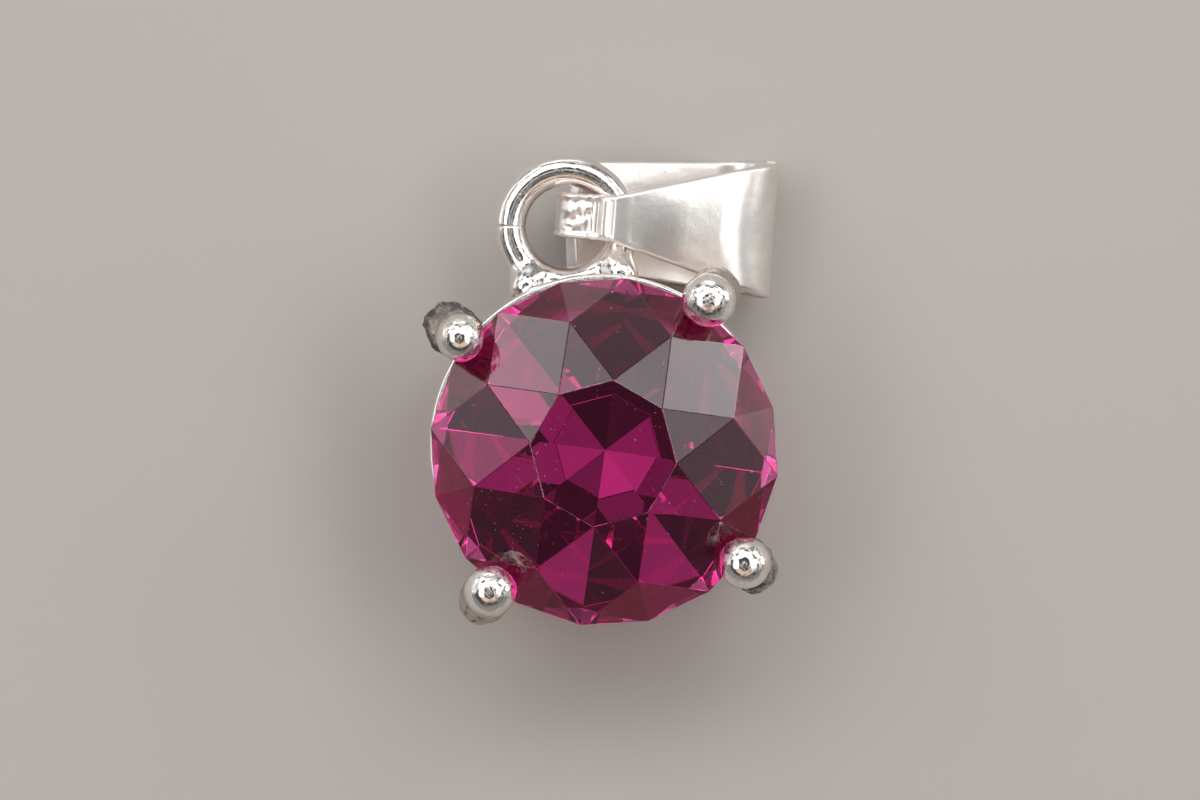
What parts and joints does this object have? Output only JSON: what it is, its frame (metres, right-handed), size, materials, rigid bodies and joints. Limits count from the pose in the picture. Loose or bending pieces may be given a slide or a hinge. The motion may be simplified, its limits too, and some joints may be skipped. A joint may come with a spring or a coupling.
{
  "type": "garnet pendant",
  "caption": "Round faceted garnet held by ball-tipped claws in an open basket, with a soldered ring and a folded, tapered bail for a chain.",
  "frame": {"origin": "on the ground under the middle of the pendant's box, as it lies on its back", "axes": "+Z out of the stone's face, +Y from the stone to the ring, +X to the right when the stone faces the viewer"},
  "size_m": [0.0088, 0.0108, 0.0057],
  "materials": {
    "silver": "polished",
    "garnet": "polished"
  },
  "bodies": {
    "setting": {"garnet": "garnet", "gallery_rail": "silver", "base_rail": "silver", "claw_top_right": "silver", "claw_top_left": "silver", "claw_bottom_left": "silver", "claw_bottom_right": "silver", "jump_ring": "silver"},
    "bail": {"bail": "silver"}
  },
  "joints": [
    {"name": "bail_swing", "type": "hinge", "parent": "setting", "child": "bail", "pos_m": [-0.00063, 0.00377, 0.00206], "axis": [0, 0, 1], "range_deg": [-2, 190]}
  ]
}
